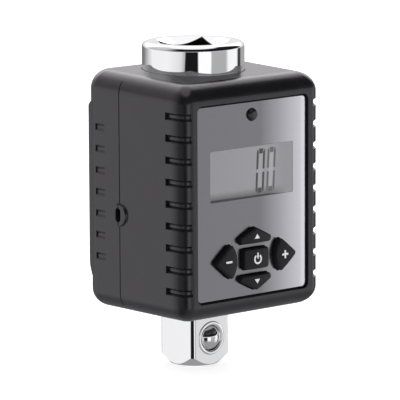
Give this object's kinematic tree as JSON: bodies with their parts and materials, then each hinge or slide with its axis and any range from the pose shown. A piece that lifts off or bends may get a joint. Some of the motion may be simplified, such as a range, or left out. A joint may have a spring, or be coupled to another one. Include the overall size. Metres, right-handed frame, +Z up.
{
  "type": "digital torque adapter",
  "caption": "Digital torque adapter: square socket in a round collar on top, sprung-ball square drive below, housing with display and keys.",
  "frame": {"origin": "centre of the flat end of the male square drive, on the drive axis", "axes": "+Z up the drive axis from the male drive to the female socket, -Y out of the display, +X to the right of one who reads the display"},
  "size_m": [0.0458, 0.0406, 0.0816],
  "materials": {
    "torque_shaft": "bright chrome plating",
    "strain_gauges": "amber film",
    "gauge_sleeve": "black protective sleeve",
    "gauge_cable": "amber flat cable",
    "gauge_plug": "cream plastic",
    "collar_seal": "black ring",
    "drive_seal": "black ring",
    "front_shell": "fine textured charcoal",
    "rear_shell": "fine textured charcoal",
    "front_panel": "satin silver plate",
    "display_window": "clear window",
    "display_glass": "grey display with a dark reading",
    "contact_strips": "grey elastomer",
    "indicator_lamp": "clear domed lamp",
    "circuit_board": "green board",
    "board_chips": "black chips",
    "board_screws": "zinc plated",
    "key_switches": "black push switches",
    "shell_screws": "dark plated",
    "buzzer": "black buzzer",
    "cells": "printed jacket",
    "battery_contacts": "plated contact strip",
    "battery_springs": "plated spring wire",
    "detent_ball": "polished steel ball",
    "detent_spring": "spring wire",
    "key_power": "black key with a power sign",
    "key_plus": "black key with a plus sign",
    "key_minus": "black key with a minus sign",
    "key_upper": "plain black key",
    "key_lower": "plain black key",
    "battery_cover": "fine textured charcoal",
    "cover_screws": "dark plated"
  },
  "bodies": {
    "housing": {"torque_shaft": "torque_shaft", "strain_gauges": "strain_gauges", "gauge_sleeve": "gauge_sleeve", "gauge_cable": "gauge_cable", "gauge_plug": "gauge_plug", "collar_seal": "collar_seal", "drive_seal": "drive_seal", "front_shell": "front_shell", "rear_shell": "rear_shell", "front_panel": "front_panel", "display_window": "display_window", "display_glass": "display_glass", "contact_strips": "contact_strips", "indicator_lamp": "indicator_lamp", "circuit_board": "circuit_board", "board_chips": "board_chips", "board_screws": "board_screws", "key_switches": "key_switches", "shell_screws": "shell_screws", "buzzer": "buzzer", "cells": "cells", "battery_contacts": "battery_contacts", "battery_springs": "battery_springs"},
    "detent": {"detent_ball": "detent_ball", "detent_spring": "detent_spring"},
    "power_key": {"key_power": "key_power"},
    "plus_key": {"key_plus": "key_plus"},
    "minus_key": {"key_minus": "key_minus"},
    "upper_key": {"key_upper": "key_upper"},
    "lower_key": {"key_lower": "key_lower"},
    "cell_cover": {"battery_cover": "battery_cover", "cover_screws": "cover_screws"}
  },
  "joints": [
    {"name": "ball_press", "type": "slide", "parent": "housing", "child": "detent", "axis": [0, 1, 0], "range_m": [0, 0.0014], "stiffness_N_per_m": 5000, "springref_m": -0.0015},
    {"name": "power_press", "type": "slide", "parent": "housing", "child": "power_key", "axis": [0, 1, 0], "range_m": [0, 0.0005], "stiffness_N_per_m": 2500, "springref_m": -0.0002},
    {"name": "plus_press", "type": "slide", "parent": "housing", "child": "plus_key", "axis": [0, 1, 0], "range_m": [0, 0.0005], "stiffness_N_per_m": 2500, "springref_m": -0.0002},
    {"name": "minus_press", "type": "slide", "parent": "housing", "child": "minus_key", "axis": [0, 1, 0], "range_m": [0, 0.0005], "stiffness_N_per_m": 2500, "springref_m": -0.0002},
    {"name": "upper_press", "type": "slide", "parent": "housing", "child": "upper_key", "axis": [0, 1, 0], "range_m": [0, 0.0005], "stiffness_N_per_m": 2500, "springref_m": -0.0002},
    {"name": "lower_press", "type": "slide", "parent": "housing", "child": "lower_key", "axis": [0, 1, 0], "range_m": [0, 0.0005], "stiffness_N_per_m": 2500, "springref_m": -0.0002},
    {"name": "cover_lift", "type": "slide", "parent": "housing", "child": "cell_cover", "axis": [0, 1, 0], "range_m": [0, 0.025]}
  ]
}
